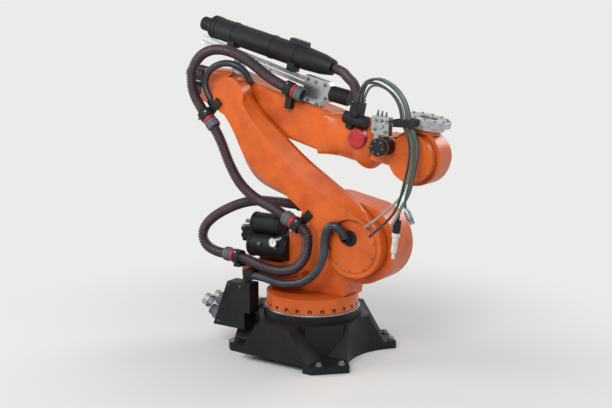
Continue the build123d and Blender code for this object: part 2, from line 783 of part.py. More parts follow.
bracket_rear = rail_front + 3
bracket_front = 600
bracket_foot = 430
bracket_toe = 556
rear_foot_start = -90
rear_foot_end = -30
with BuildPart() as rail_bracket:
    with BuildSketch(arm_frame.offset(-10)):
        with BuildLine():
            Polyline((bracket_rear, 105), (bracket_rear, 226), (bracket_front - 16, 218), (bracket_front, 200),
                     (bracket_front, 105), (bracket_toe, 105),
                     (bracket_toe, arm_top_at(bracket_toe) + seat_gap),
                     (bracket_foot, arm_top_at(bracket_foot) + seat_gap), close=True)
        make_face()
        with BuildLine():
            Polyline((rear_foot_start, arm_top_at(rear_foot_start) + seat_gap),
                     (rear_foot_end, arm_top_at(rear_foot_end) + seat_gap),
                     (rear_foot_end, rail_under_at(rear_foot_end)),
                     (rear_foot_start, rail_under_at(rear_foot_start)), close=True)
        make_face()
    extrude(amount=52)
save(rail_bracket.part, "rail_bracket")

with BuildPart() as hose_guide:
    with BuildSketch(Plane(origin=on_arm(bracket_front + seat_gap, 158, 16), z_dir=arm_frame.x_dir)):
        Circle(42)
    extrude(amount=120)
save(hose_guide.part, "hose_guide")

# Wrist fittings of the energy supply
outlet_rear = -394
outlet_front = -336
outlet_end = on_wrist(outlet_rear, 225, 72)
outlet_way = (outlet_end - on_wrist(-452, 290, 44)).normalized()
flexible("wrist_hose", [
    tube_front + tube_way * seat_gap, tube_front + tube_way * 62, on_wrist(-512, 307, 22),
    on_wrist(-452, 290, 44), outlet_end,
], hose_diameter - 4)

holder_radius = 34
holder_rear = on_wrist(-430, 117, 118)
with BuildPart() as hose_holder:
    with BuildSketch(Plane(origin=holder_rear, z_dir=arm_frame.x_dir)):
        Circle(holder_radius)
    extrude(amount=140)
    add(block(wrist_frame, (-410, 61, 60), (-374, 111, 130)))
    with BuildSketch(roll_frame.offset(roll_start)):
        Circle(roll_radius + seat_gap)
    extrude(amount=roll_gap, mode=Mode.SUBTRACT)
save(hose_holder.part, "hose_holder")

with BuildPart() as cable_outlet:
    add(block(wrist_frame, (outlet_rear + 10, 140, 78), (outlet_front, 213, 168)))
    add(block(wrist_frame, (outlet_rear + 10, 190, 62), (outlet_rear + 31, 225, 106)))
    with BuildSketch(Plane(origin=outlet_end + outlet_way * seat_gap, z_dir=outlet_way)):
        Circle(34)
    extrude(amount=22)
    with BuildSketch(Plane(origin=outlet_end + outlet_way * seat_gap, z_dir=-outlet_way)):
        Circle(34)
    extrude(amount=60, mode=Mode.SUBTRACT)
    with BuildSketch(Plane(origin=holder_rear, z_dir=arm_frame.x_dir)):
        Circle(holder_radius + seat_gap)
    extrude(amount=140, mode=Mode.SUBTRACT)
save(cable_outlet.part, "cable_outlet")

with BuildPart() as red_disc:
    with BuildSketch(wrist_frame.offset(90)):
        with Locations((-322, 24)):
            Circle(54)
    extrude(amount=62)
    fillet(red_disc.faces().sort_by(Axis.Y)[0].edges(), 10)
    add(Pos(0, -seat_gap, 0) * wrist_fork.part, mode=Mode.SUBTRACT)
save(red_disc.part, "red_disc")

bracket_near = 129
valve_near = 138
valve_face = 182
with BuildPart() as valve_bracket:
    with BuildSketch(wrist_frame.offset(bracket_near)):
        with BuildLine():
            Polyline((-225, -19), (-196, -19), (-196, 83), (-140, 83), (-140, 141), (-225, 141), close=True)
        make_face()
    extrude(amount=valve_near - bracket_near - seat_gap)
    add(block(wrist_frame, (-225, -19, fork_near + seat_gap), (-196, 60, bracket_near)))
save(valve_bracket.part, "valve_bracket")

with BuildPart() as valve_block:
    with BuildSketch(wrist_frame.offset(valve_near)):
        with BuildLine():
            Polyline((-235, 177), (-135, 192), (-118, 94), (-221, 88), close=True)
        make_face()
    extrude(amount=valve_face - valve_near)
    with BuildSketch(wrist_frame.offset(valve_face)):
        with Locations((-172, 139)):
            Circle(16)
    extrude(amount=10)
save(valve_block.part, "valve_block")

coupling_radius = 48
coupling_length = 112
with BuildPart() as rotary_coupling:
    with BuildSketch(wrist_frame.offset(fork_near + seat_gap)):
        with Locations((-144, 32)):
            Circle(coupling_radius)
    extrude(amount=coupling_length)
save(rotary_coupling.part, "rotary_coupling")

# Each cable: side step of its start, side step at the tie, then its own tail
loop_middle = Vector(-200, 191)
cable_loop = [(-352, 268), (-336, 326), (-300, 354), (-255, 368), (-198, 362), (-137, 341), (-82, 301),
              (-46, 252)]
cable_fall = [(66, 113), (72, 13), (52, -87), (30, -187)]
cable_bend_start = 110
cable_tie_near = 158
tie_ahead = 19
tie_height = 191


def under_wrist(ahead, near, height):
    """A point measured level and plumb from the wrist's bend axis."""
    return wrist_point + Vector(ahead, -near, height)


def cable_route(lane, inset, tail):
    """Up over the wrist, through the tie and down to its own tail."""
    near_start = cable_bend_start + lane * cable_spacing
    near_tie = cable_tie_near + lane * cable_spacing
    start = [on_wrist(-352, 214.5, near_start)]
    loop = []
    for step, (ahead, up) in enumerate(cable_loop, start=1):
        near = near_start + (near_tie - near_start) * step / (len(cable_loop) + 1)
        reach = Vector(ahead, up) - loop_middle
        reach = reach * (1 - inset * min(step, 4) / 4 / reach.length)
        loop.append(on_wrist(loop_middle.X + reach.X, loop_middle.Y + reach.Y, near))
    fall = [under_wrist(tie_ahead - inset, near_tie, tie_height)]
    for step, (ahead, height) in enumerate(cable_fall, start=1):
        fall.append(under_wrist(ahead - inset, near_tie + step * 5, height))
    return start + loop + fall + [under_wrist(ahead, near_tie + side, height) for ahead, side, height in tail]


white_plug_top = under_wrist(-35, 190, -386)
white_plug_way = Vector(-0.12, 0, -1).normalized()
silver_plug_top = under_wrist(31, 212, -253)
silver_plug_way = Vector(0.5, 0, -0.87).normalized()
cable_tails = {
    "outer_cable": (0, 0, [(-16, 32, -254), (-25, 32, -322), (-34.6, 32, -384)]),
    "grey_cable": (1, 0, [(-4, 26, -258), (-20, 46, -300), (-44, 58, -350)]),
    "green_cable": (2, 0, [(24, 22, -230), (30, 22, -249)]),
    "cream_cable": (-1, 44, [(-50, 44, -232), (-100, 56, -286), (-156, 64, -330), (-214, 68, -372)]),
    "black_cable": (3, 22, [(-22, 14, -262), (-74, 10, -322), (-132, 8, -374), (-184, 6, -420)]),
}
for cable_name, (lane, inset, tail) in cable_tails.items():
    flexible(cable_name, cable_route(lane, inset, tail), cable_diameter)

tie_wall = 3
tie_width = 96
tie_depth = 84
tie_band = 40
pin_ahead = -130.2
with BuildPart() as cable_tie:
    with BuildSketch(Plane(origin=under_wrist(tie_ahead - 18, cable_tie_near + cable_spacing,
                                              tie_height - tie_band / 2))):
        Rectangle(tie_width + 2 * tie_wall, tie_depth + 2 * tie_wall)
        Rectangle(tie_width, tie_depth, mode=Mode.SUBTRACT)
    extrude(amount=tie_band)
    with BuildSketch(Plane(origin=on_wrist(pin_ahead, 172, 160), z_dir=arm_frame.x_dir)):
        Circle(5)
    extrude(until=Until.NEXT)
save(cable_tie.part, "cable_tie")

with BuildPart() as white_plug:
    with BuildSketch(Plane(origin=white_plug_top, x_dir=(-white_plug_way.Z, 0, white_plug_way.X), z_dir=(0, -1, 0))):
        with BuildLine():
            Polyline((0, 0), (22, 0), (22, -20), (16, -24), (16, -108), (9, -112), (9, -142), (0, -142),
                     close=True)
        make_face()
    revolve(axis=Axis(white_plug_top, white_plug_way))
save(white_plug.part, "white_plug")

with BuildPart() as silver_plug:
    with BuildSketch(Plane(origin=silver_plug_top, x_dir=(-silver_plug_way.Z, 0, silver_plug_way.X), z_dir=(0, -1, 0))):
        with BuildLine():
            Polyline((0, 0), (12, 0), (18, -16), (18, -60), (14, -64), (14, -82), (0, -82), close=True)
        make_face()
    revolve(axis=Axis(silver_plug_top, silver_plug_way))
save(silver_plug.part, "silver_plug")
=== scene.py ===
"""An industrial robot arm: enamelled castings, ribbed hoses, cables and a pale studio."""
from math import cos, pi, radians, sin
import json

import bmesh
import bpy
from bpy.props import FloatProperty, FloatVectorProperty, IntProperty, PointerProperty
from mathutils import Matrix, Vector


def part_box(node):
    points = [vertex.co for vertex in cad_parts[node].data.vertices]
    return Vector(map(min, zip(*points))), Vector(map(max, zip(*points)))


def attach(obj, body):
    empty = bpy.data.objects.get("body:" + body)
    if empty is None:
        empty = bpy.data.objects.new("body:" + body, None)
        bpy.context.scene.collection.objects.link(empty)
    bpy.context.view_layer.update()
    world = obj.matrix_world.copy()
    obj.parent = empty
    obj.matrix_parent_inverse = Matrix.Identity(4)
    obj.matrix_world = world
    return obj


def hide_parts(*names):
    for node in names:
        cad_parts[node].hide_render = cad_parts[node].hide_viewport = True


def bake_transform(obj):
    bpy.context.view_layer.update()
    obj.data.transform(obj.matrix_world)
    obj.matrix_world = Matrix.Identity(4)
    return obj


bl_info = {
    "name": "Industrial robot arm",
    "version": (1, 0, 0),
    "blender": (4, 5, 0),
    "location": "View3D > Sidebar > Robot arm",
    "description": "Dresses a six axis robot arm with its finishes, hoses, cables and bolts",
    "category": "Object",
}

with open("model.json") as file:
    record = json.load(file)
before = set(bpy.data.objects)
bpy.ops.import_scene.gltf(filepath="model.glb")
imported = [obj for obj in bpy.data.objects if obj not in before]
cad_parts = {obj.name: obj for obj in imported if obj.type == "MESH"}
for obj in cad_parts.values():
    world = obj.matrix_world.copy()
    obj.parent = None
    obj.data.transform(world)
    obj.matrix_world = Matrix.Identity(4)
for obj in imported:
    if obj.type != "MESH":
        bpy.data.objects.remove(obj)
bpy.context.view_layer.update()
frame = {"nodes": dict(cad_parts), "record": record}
record = frame["record"]
BODY_OF = {node: body for body, nodes in record["behaviour"]["bodies"].items() for node in nodes}
SLOT_OF = {entry["node"]: entry["material_slot"] for entry in record["subparts"]}

# Places are in millimetres, as on a drawing, and become metres at the end
MM = 0.001
LEAN = radians(46.5)
PITCH = radians(12)
LINK_LENGTH = 1150
SHOULDER = Vector((350, 0, 675))
LINK_WAY = Vector((-sin(LEAN), 0, cos(LEAN)))
LINK_FORWARD = Vector((cos(LEAN), 0, sin(LEAN)))
ARM_WAY = Vector((cos(PITCH), 0, -sin(PITCH)))
ARM_UP = Vector((sin(PITCH), 0, cos(PITCH)))
SIDEWAYS = Vector((0, 1, 0))
FORWARD = Vector((1, 0, 0))
UPRIGHT = Vector((0, 0, 1))
ELBOW = SHOULDER + LINK_WAY * LINK_LENGTH
WRIST = ELBOW + ARM_WAY * 1200 - ARM_UP * 41


def on_link(along, forward, side):
    """A point in the link arm's own frame."""
    return SHOULDER + LINK_WAY * along + LINK_FORWARD * forward + SIDEWAYS * side


def on_arm(along, up, near):
    """A point in the forearm's own frame."""
    return ELBOW + ARM_WAY * along + ARM_UP * up - SIDEWAYS * near


def on_wrist(ahead, up, near):
    """A point measured from the wrist's bend axis, along the arm."""
    return WRIST + ARM_WAY * ahead + ARM_UP * up - SIDEWAYS * near


def under_wrist(ahead, near, height):
    """A point measured level and plumb from the wrist's bend axis."""
    return WRIST + Vector((ahead, -near, height))


# Finishes

def linear(hex_colour):
    """An sRGB hex colour as linear red, green and blue."""
    channels = [int(hex_colour[start:start + 2], 16) / 255 for start in (1, 3, 5)]
    return [c / 12.92 if c <= 0.04045 else ((c + 0.055) / 1.055) ** 2.4 for c in channels]


def add_node(tree, kind, inputs=None, **settings):
    """Adds a node, sets it up and fills its inputs with values or links."""
    node = tree.nodes.new(kind)
    for key, value in settings.items():
        setattr(node, key, value)
    for socket, value in (inputs or {}).items():
        if isinstance(value, bpy.types.NodeSocket):
            tree.links.new(value, node.inputs[socket])
        else:
            node.inputs[socket].default_value = value
    return node


def finish_material(name, colour, shade, roughness, grain_mm, relief_mm, patch_mm=180.0,
                    metallic=0.0, crevice_shade=0.0, coat=0.0, specular=0.5):
    """A finish with slow colour patches, fine grain in its relief and painted shade in its corners.
    """
    material = bpy.data.materials.new(name)
    material.use_nodes = True
    tree = material.node_tree
    tree.nodes.clear()
    place = add_node(tree, "ShaderNodeTexCoord").outputs["Object"]
    patches = add_node(tree, "ShaderNodeTexNoise",
                       {"Vector": place, "Scale": 1000 / patch_mm, "Detail": 6.0, "Roughness": 0.6})
    spread = add_node(tree, "ShaderNodeMapRange",
                      {"Value": patches.outputs[0], "From Min": 0.42, "From Max": 0.68})
    tone = add_node(tree, "ShaderNodeMix", {0: spread.outputs[0], 6: (*colour, 1), 7: (*shade, 1)},
                    data_type="RGBA")
    skin = tone.outputs[2]
    # Painted shade: where ambient occlusion finds a corner or crevice, the colour is darkened
    # towards a dark brown
    if crevice_shade:
        corner = add_node(tree, "ShaderNodeAmbientOcclusion", {"Distance": 0.035}, samples=8)
        corner_shade = add_node(tree, "ShaderNodeMapRange",
                        {"Value": corner.outputs["AO"], "From Min": 0.25, "From Max": 0.8,
                         "To Min": crevice_shade, "To Max": 0.0})
        shaded_skin = add_node(tree, "ShaderNodeMix",
                         {0: corner_shade.outputs[0], 6: skin, 7: (*linear("#2A1A12"), 1)}, data_type="RGBA")
        skin = shaded_skin.outputs[2]
    grain = add_node(tree, "ShaderNodeTexNoise",
                     {"Vector": place, "Scale": 1000 / grain_mm, "Detail": 3.0})
    relief = add_node(tree, "ShaderNodeBump",
                      {"Height": grain.outputs[0], "Strength": 0.5, "Distance": relief_mm * MM})
    gloss = add_node(tree, "ShaderNodeMapRange",
                     {"Value": patches.outputs[0], "From Min": 0.35, "From Max": 0.7,
                      "To Min": roughness - 0.06, "To Max": roughness + 0.1})
    shader = add_node(tree, "ShaderNodeBsdfPrincipled",
                      {"Base Color": skin, "Roughness": gloss.outputs[0], "Metallic": metallic,
                       "Normal": relief.outputs[0], "Coat Weight": coat,
                       "Specular IOR Level": specular})
    add_node(tree, "ShaderNodeOutputMaterial", {"Surface": shader.outputs[0]})
    return material


def make_finishes(settings):
    """Every finish of the arm, by the name that its pieces use."""
    orange = list(settings.enamel)
    return {
        # Two-pack enamel over sand casting: satin, softly uneven, with painted shade darkening its
        # corners
        "casting_enamel": finish_material("orange_casting_enamel", orange, linear("#B94C15"), 0.38,
                                          9.0, 0.5, crevice_shade=0.6, coat=0.08, specular=0.35),
        # Stoved enamel on welded plate: near black, greyed by dust where it lies level, with painted
        # shade darkening its corners
        "plate_enamel": finish_material("black_plate_enamel", list(settings.plate),
                                        linear("#1D2021"), 0.48, 6.0, 0.35, crevice_shade=0.3,
                                        specular=0.25),
        # Injection moulded polyamide: fine spark grain, low sheen
        "moulded_black": finish_material("moulded_polyamide", linear("#0F1012"), linear("#1C1E20"),
                                         0.5, 2.5, 0.2, patch_mm=60.0, specular=0.3),
        # Corrugated polyamide hose: smooth crests that catch a line of light
        "hose": finish_material("corrugated_polyamide", list(settings.hose), linear("#472C37"),
                                0.38, 3.0, 0.1, patch_mm=90.0),
        # Polyurethane cable jacket: smooth, blue grey, slightly soft sheen
        "cable_jacket": finish_material("polyurethane_jacket", linear("#20262E"), linear("#333B45"),
                                        0.4, 4.0, 0.1, patch_mm=80.0),
        # Dark PVC sheath of the thin cables
        "dark_sheath": finish_material("dark_pvc_sheath", linear("#202124"), linear("#3A3B3E"),
                                       0.42, 3.0, 0.1, patch_mm=70.0),
        # Grey PVC sheath: flat and dusty
        "grey_sheath": finish_material("grey_pvc_sheath", linear("#6E7072"), linear("#8A8C8C"),
                                       0.45, 3.0, 0.1, patch_mm=70.0),
        # Green PVC sheath of the earth lead: deep green with duller patches
        "green_sheath": finish_material("green_pvc_sheath", linear("#2F5A46"), linear("#24483A"),
                                        0.42, 3.0, 0.1, patch_mm=70.0),
        # Cream PVC sheath, greyed by handling
        "cream_sheath": finish_material("cream_pvc_sheath", linear("#9A968A"), linear("#7E7A70"),
                                        0.45, 3.0, 0.1, patch_mm=70.0),
        # Dyed acetal rings: mid red with darker, handled patches and painted shade darkening their
        # corners
        "red_acetal": finish_material("red_acetal", linear("#B5252A"), linear("#8E1C22"), 0.4,
                                      3.0, 0.15, patch_mm=40.0, crevice_shade=0.3),
        # Milled aluminium: bright and even with a soft spread of light, and painted shade darkening
        # its corners
        "milled_aluminium": finish_material("milled_aluminium", linear("#B9BCBE"),
                                            linear("#9DA1A4"), 0.34, 2.0, 0.08, patch_mm=50.0,
                                            metallic=1.0, crevice_shade=0.35),
        # Zinc plated steel of the bolts and fittings
        "zinc_steel": finish_material("zinc_plated_steel", linear("#8F9294"), linear("#6A6C6E"),
                                      0.4, 1.5, 0.06, patch_mm=20.0, metallic=1.0),
        # Uncoloured nylon of the plug and the stop: off white, soft sheen
        "pale_nylon": finish_material("pale_nylon", linear("#D9D7CE"), linear("#BDBAB0"), 0.45,
                                      3.0, 0.1, patch_mm=40.0),
        # Printed dial behind a clear lens
        "dial_face": finish_material("dial_face", linear("#E9E9E4"), linear("#DCDCD6"), 0.3,
                                     3.0, 0.02, patch_mm=40.0, coat=0.6),
        # Grey moulded sleeve next to each coloured ring
        "grey_rubber": finish_material("grey_rubber", linear("#5B6068"), linear("#484D55"), 0.55,
                                       3.0, 0.15, patch_mm=50.0),
    }


FINISHES = {}


# Building blocks

def show_piece(name, mesh, finish, body, slot, *nodes):
    """Shows a finished mesh with its material and lets it ride on its body."""
    piece = bpy.data.objects.new(name, mesh)
    bpy.context.scene.collection.objects.link(piece)
    mesh.materials.clear()
    mesh.materials.append(FINISHES[finish])
    if body:
        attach(piece, body)
    if nodes:
        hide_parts(*nodes)
    return piece


def close_mesh(name, work, smooth=True):
    """Turns bmesh work into a mesh with outward faces."""
    bmesh.ops.recalc_face_normals(work, faces=work.faces)
    mesh = bpy.data.meshes.new(name)
    work.to_mesh(mesh)
    work.free()
    if smooth:
        mesh.shade_smooth()
    return mesh


def soften(piece, width_mm, segments=2):
    """Rounds a piece's edges and keeps its flats flat."""
    edge = piece.modifiers.new("rounded_edges", "BEVEL")
    edge.width = width_mm * MM
    edge.segments = segments
    edge.limit_method = "ANGLE"
    edge.angle_limit = radians(32)
    flat = piece.modifiers.new("flat_faces", "WEIGHTED_NORMAL")
    flat.keep_sharp = False


def dress_node(node, finish, width_mm, segments=2):
    """A merged copy of a CAD solid with rounded edges and its finish."""
    work = bmesh.new()
    work.from_mesh(frame["nodes"][node].data)
    bmesh.ops.remove_doubles(work, verts=work.verts, dist=0.02 * MM)
    bmesh.ops.dissolve_limit(work, angle_limit=radians(1.5), verts=work.verts, edges=work.edges)
    piece = show_piece(node + "_dressed", close_mesh(node + "_dressed", work), finish,
                       BODY_OF[node], SLOT_OF[node], node)
    soften(piece, width_mm, segments)
    return piece


def facing(place, way):
    """A matrix that stands a shape on a place, upright along a way."""
    turn = Vector(way).to_track_quat("Z", "Y").to_matrix().to_4x4()
    return Matrix.Translation(Vector(place) * MM) @ turn


def add_drum(work, place, way, radius, length, end_radius=None, sides=32):
    """A round or tapered drum that starts at a place."""
    top = radius if end_radius is None else end_radius
    bmesh.ops.create_cone(work, cap_ends=True, segments=sides, radius1=radius * MM,
                          radius2=top * MM, depth=length * MM,
                          matrix=facing(place, way) @ Matrix.Translation((0, 0, length * MM / 2)))


def add_ring(work, place, way, inner, outer, length, steps=48):
    """A round band with a bore, spun from its cross section."""
    at = facing(place, way)
    outline = [(inner, 0), (outer, 0), (outer, length), (inner, length)]
    corners = [work.verts.new(at @ Vector((across * MM, 0, up * MM))) for across, up in outline]
    edges = [work.edges.new((corners[step], corners[(step + 1) % 4])) for step in range(4)]
    bmesh.ops.spin(work, geom=corners + edges, axis=Vector(way).normalized(),
                   cent=Vector(place) * MM, angle=2 * pi, steps=steps, use_merge=True)


def add_bolt(work, place, way, radius, height):
    """A hexagon bolt head on its washer."""
    way = Vector(way).normalized()
    add_drum(work, place, way, radius * 1.45, height * 0.3, sides=18)
    add_drum(work, Vector(place) + way * height * 0.3, way, radius, height * 0.7, radius * 0.93,
             sides=6)


def add_cap_screw(work, place, way, radius, height):
    """A round socket screw head with a sunk key hole."""
    way = Vector(way).normalized()
    add_ring(work, place, way, radius * 0.5, radius, height, steps=14)
    add_drum(work, place, way, radius * 0.55, height * 0.45, sides=6)


def circle_points(centre, first, second, radius, count, start=0.0):
    """Even places round a circle in the plane of two ways."""
    turns = [start + 2 * pi * step / count for step in range(count)]
    return [Vector(centre) + Vector(first) * radius * cos(turn) + Vector(second) * radius * sin(turn)
            for turn in turns]


def route_curve(name, points):
    """A smooth line with the route's points as its control points."""
    curve = bpy.data.curves.new(name, "CURVE")
    curve.dimensions = "3D"
    curve.resolution_u = 16
    spline = curve.splines.new("NURBS")
    spline.points.add(len(points) - 1)
    for point, place in zip(spline.points, points):
        point.co = (*(Vector(place) * MM), 1)
    spline.order_u = 3
    spline.use_endpoint_u = True
    return curve


def line_length(curve):
    """Length of a curve that has no thickness yet."""
    holder = bpy.data.objects.new("line_for_length", curve)
    line = bpy.data.meshes.new_from_object(holder)
    length = sum((line.vertices[edge.vertices[0]].co - line.vertices[edge.vertices[1]].co).length
                 for edge in line.edges)
    bpy.data.objects.remove(holder)
    bpy.data.meshes.remove(line)
    return length


def ribbed_hose(name, points, diameter, settings):
    """A corrugated hose: one rib spun, repeated and laid along the route."""
    curve = route_curve(name + "_line", points)
    length = line_length(curve)
    count = round(length / settings.rib_pitch)
    pitch = length / count
    crest = diameter * MM / 2
    root = crest - settings.rib_depth
    outline = [(0, root), (0.28, root), (0.42, crest), (0.84, crest), (1, root)]
    work = bmesh.new()
    corners = [work.verts.new((part * pitch, 0, radius)) for part, radius in outline]
    edges = [work.edges.new(pair) for pair in zip(corners, corners[1:])]
    bmesh.ops.spin(work, geom=corners + edges, axis=(1, 0, 0), cent=(0, 0, 0), angle=2 * pi,
                   steps=settings.hose_sides, use_merge=True)
    rib = bpy.data.objects.new(name + "_rib", close_mesh(name + "_rib", work))
    path = bpy.data.objects.new(name + "_path", curve)
    for holder in (rib, path):
        bpy.context.scene.collection.objects.link(holder)
    repeat = rib.modifiers.new("ribs", "ARRAY")
    repeat.count = count
    repeat.use_merge_vertices = True
    repeat.merge_threshold = 0.02 * MM
    lay = rib.modifiers.new("along_route", "CURVE")
    lay.object = path
    lay.deform_axis = "POS_X"
    bpy.context.view_layer.update()
    laid = bpy.data.meshes.new_from_object(
        rib.evaluated_get(bpy.context.evaluated_depsgraph_get()))
    for holder in (rib, path):
        bpy.data.objects.remove(holder)
    work = bmesh.new()
    work.from_mesh(laid)
    bmesh.ops.remove_doubles(work, verts=work.verts, dist=0.02 * MM)
    bmesh.ops.holes_fill(work, edges=[edge for edge in work.edges if edge.is_boundary])
    return close_mesh(name, work)


def smooth_tube(name, points, diameter):
    """A plain round cable as a mesh along its route."""
    curve = route_curve(name + "_line", points)
    curve.bevel_depth = diameter * MM / 2
    curve.bevel_resolution = 6
    curve.use_fill_caps = True
    holder = bpy.data.objects.new(name + "_line", curve)
    mesh = bpy.data.meshes.new_from_object(holder)
    bpy.data.objects.remove(holder)
    mesh.shade_smooth()
    return mesh


# Settings

class RobotArmSettings(bpy.types.PropertyGroup):
    """Sizes and colours of the arm's dress."""

    enamel: FloatVectorProperty(name="Enamel", description="Colour of the castings",
                                subtype="COLOR", size=3, default=linear("#D6621F"))
    plate: FloatVectorProperty(name="Plate", description="Colour of the base frame",
                               subtype="COLOR", size=3, default=linear("#0E1011"))
    hose: FloatVectorProperty(name="Hose", description="Colour of the ribbed hoses",
                              subtype="COLOR", size=3, default=linear("#2E1D25"))
    # Real ribs are about 7 mm apart and 3 mm deep: drawn coarser, so that they show
    rib_pitch: FloatProperty(name="Rib pitch", description="Distance from rib to rib",
                             subtype="DISTANCE", unit="LENGTH", default=0.0135)
    rib_depth: FloatProperty(name="Rib depth", description="Depth of the hose's grooves",
                             subtype="DISTANCE", unit="LENGTH", default=0.0055)
    hose_sides: IntProperty(name="Hose sides", description="Steps round a hose", default=28)
    casting_edge: FloatProperty(name="Casting edge", description="Rounding of cast edges, in mm",
                                default=9.0)


# Groups of pieces

class ROBOT_OT_castings(bpy.types.Operator):
    """Dresses the painted castings and the covers on them"""

    bl_idname = "robot.castings"
    bl_label = "Castings"

    def execute(self, context):
        edge = context.scene.robot_arm.casting_edge
        for node, width in (("link_arm", edge * 1.3), ("arm_housing", edge), ("wrist_fork", edge),
                            ("column_casting", edge), ("swivel", edge * 0.7),
                            ("shoulder_cover", 2.0)):
            dress_node(node, "casting_enamel", width, segments=3)
        screw_circle = 138
        screw_seat = 142.4
        cover = bmesh.new()
        for place in circle_points(SHOULDER - SIDEWAYS * screw_seat, FORWARD, UPRIGHT, screw_circle,
                                   10, radians(12)):
            add_cap_screw(cover, place, -SIDEWAYS, 6, 5)
        soften(show_piece("cover_screws", close_mesh("cover_screws", cover), "zinc_steel",
                          "link_arm_group", "bare_aluminium"), 0.6)
        # A thin black disc on the cover stands for the dark inside of its opening, as painted shade,
        # with the gland that the shoulder cable leaves by
        face_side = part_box("shoulder_cover")[0].y / MM
        opening_shade_disc = Vector((334, face_side + 0.2, 718))
        cable_exit = Vector((314, face_side, 722))
        gland_bore = 23.4
        gland = bmesh.new()
        # Painted shade: a black disc 1.6 mm thick where the opening is dark inside
        add_drum(gland, opening_shade_disc, -SIDEWAYS, 46, 1.6, sides=48)
        add_ring(gland, cable_exit, -SIDEWAYS, gland_bore, 31, 22)
        add_ring(gland, cable_exit, -SIDEWAYS, gland_bore, 35, 9)
        soften(show_piece("cover_gland", close_mesh("cover_gland", gland), "moulded_black",
                          "link_arm_group", "black_plastic"), 1.0)
        return {"FINISHED"}


class ROBOT_OT_base(bpy.types.Operator):
    """Dresses the base frame, its box of connectors and its floor bolts"""

    bl_idname = "robot.base"
    bl_label = "Base"

    def execute(self, context):
        dress_node("base_frame", "plate_enamel", 5.0)
        dress_node("connection_box", "plate_enamel", 4.0)
        dress_node("bearing_ring", "milled_aluminium", 1.0)
        dress_node("box_connectors", "grey_rubber", 3.0)
        dress_node("stop_block", "pale_nylon", 3.0)
        foot_top = 46
        far = 370
        near = 280
        box_side = -262
        pocket_floor = 278.6
        pocket_circle = 259
        bolts = bmesh.new()
        for x, y in ((far, near), (near, far), (-far, near)):
            for side in (-1, 1):
                add_bolt(bolts, (x, side * y, foot_top), UPRIGHT, 15, 20)
        for x, z in ((-330, 380), (-410, 380), (-490, 150)):
            add_cap_screw(bolts, (x, box_side, z), -SIDEWAYS, 6, 5)
        for place in circle_points((0, 0, pocket_floor), FORWARD, SIDEWAYS, pocket_circle, 24):
            add_bolt(bolts, place, UPRIGHT, 7, 10)
        soften(show_piece("floor_and_ring_bolts", close_mesh("floor_and_ring_bolts", bolts),
                          "zinc_steel", "base", "bare_aluminium"), 0.8)
        slope = Vector((-0.930, 0, 0.368))
        up_slope = Vector((0.368, 0, 0.930))
        socket_spacing = 92
        rings = bmesh.new()
        for step in (-1, 0):
            middle = Vector((-481, -216 + step * socket_spacing, 261))
            add_ring(rings, middle + slope * 34, slope, 28, 38, 36)
            for pin in circle_points(middle + slope * 66, SIDEWAYS, up_slope, 15, 7):
                add_drum(rings, pin, slope, 3, 5, sides=10)
        soften(show_piece("connector_collars", close_mesh("connector_collars", rings),
                          "milled_aluminium", "base", "bare_aluminium"), 1.0)
        return {"FINISHED"}


class ROBOT_OT_drives(bpy.types.Operator):
    """Dresses the motors, the balance cylinder and the gauge"""

    bl_idname = "robot.drives"
    bl_label = "Drives and balance cylinder"

    def execute(self, context):
        for node in ("shoulder_motor", "elbow_motor", "turntable_motor", "wrist_motors"):
            dress_node(node, "moulded_black", 3.0)
        for node in ("balance_cylinder", "pressure_bottle", "junction_box", "hose_socket",
                     "cable_socket", "elbow_socket"):
            dress_node(node, "plate_enamel", 4.0)
        dress_node("pressure_gauge", "zinc_steel", 1.5)
        face = Vector((-186, -137, 634))
        dial_radius = 25
        dial = bmesh.new()
        add_drum(dial, face, -SIDEWAYS, dial_radius, 1.4, sides=40)
        show_piece("gauge_dial", close_mesh("gauge_dial", dial, smooth=False), "dial_face", "column",
                   "bare_aluminium")
        bezel = bmesh.new()
        add_ring(bezel, face, -SIDEWAYS, dial_radius - 0.5, dial_radius + 4, 5)
        soften(show_piece("gauge_bezel", close_mesh("gauge_bezel", bezel), "zinc_steel", "column",
                          "bare_aluminium"), 1.0)
        marks = bmesh.new()
        add_drum(marks, face - SIDEWAYS * 1.6, -SIDEWAYS, 2.5, 2, sides=16)
        add_drum(marks, face + Vector((0, -2.6, -4)), (0.1, 0, 1), 1.2, 22, 0.5, sides=8)
        for place in circle_points(face - SIDEWAYS * 1.4, FORWARD, UPRIGHT, dial_radius - 5, 12):
            add_drum(marks, place, -SIDEWAYS, 0.9, 0.6, sides=8)
        show_piece("gauge_needle", close_mesh("gauge_needle", marks), "moulded_black", "column",
                   "bare_aluminium")
        vessel_side = -40
        cylinder_height = 590
        bottle_height = 722.3
        fittings = bmesh.new()
        for x in (-376, -190):
            add_ring(fittings, (x, vessel_side, bottle_height), FORWARD, 59, 63, 12)
        for x in (-396, -150):
            add_ring(fittings, (x, vessel_side, cylinder_height), FORWARD, 71, 76, 16)
        for place in circle_points((-400, vessel_side, cylinder_height), SIDEWAYS, UPRIGHT, 56, 8):
            add_bolt(fittings, place, -FORWARD, 6, 8)
        soften(show_piece("cylinder_bands", close_mesh("cylinder_bands", fittings), "plate_enamel",
                          "column", "black_enamel"), 1.5)
        pipe = bmesh.new()
        add_drum(pipe, (-380, vessel_side, 722), -FORWARD, 20, 26, sides=24)
        add_drum(pipe, (-406, vessel_side, 722), -FORWARD, 12, 40, sides=18)
        add_drum(pipe, (-186, -112, 606), -UPRIGHT, 8, 14, sides=12)
        add_bolt(pipe, (-300, -112, 610), -SIDEWAYS, 9, 14)
        add_bolt(pipe, (-445, -64, 690), UPRIGHT, 12, 16)
        soften(show_piece("cylinder_fittings", close_mesh("cylinder_fittings", pipe), "zinc_steel",
                          "column", "bare_aluminium"), 0.8)
        return {"FINISHED"}


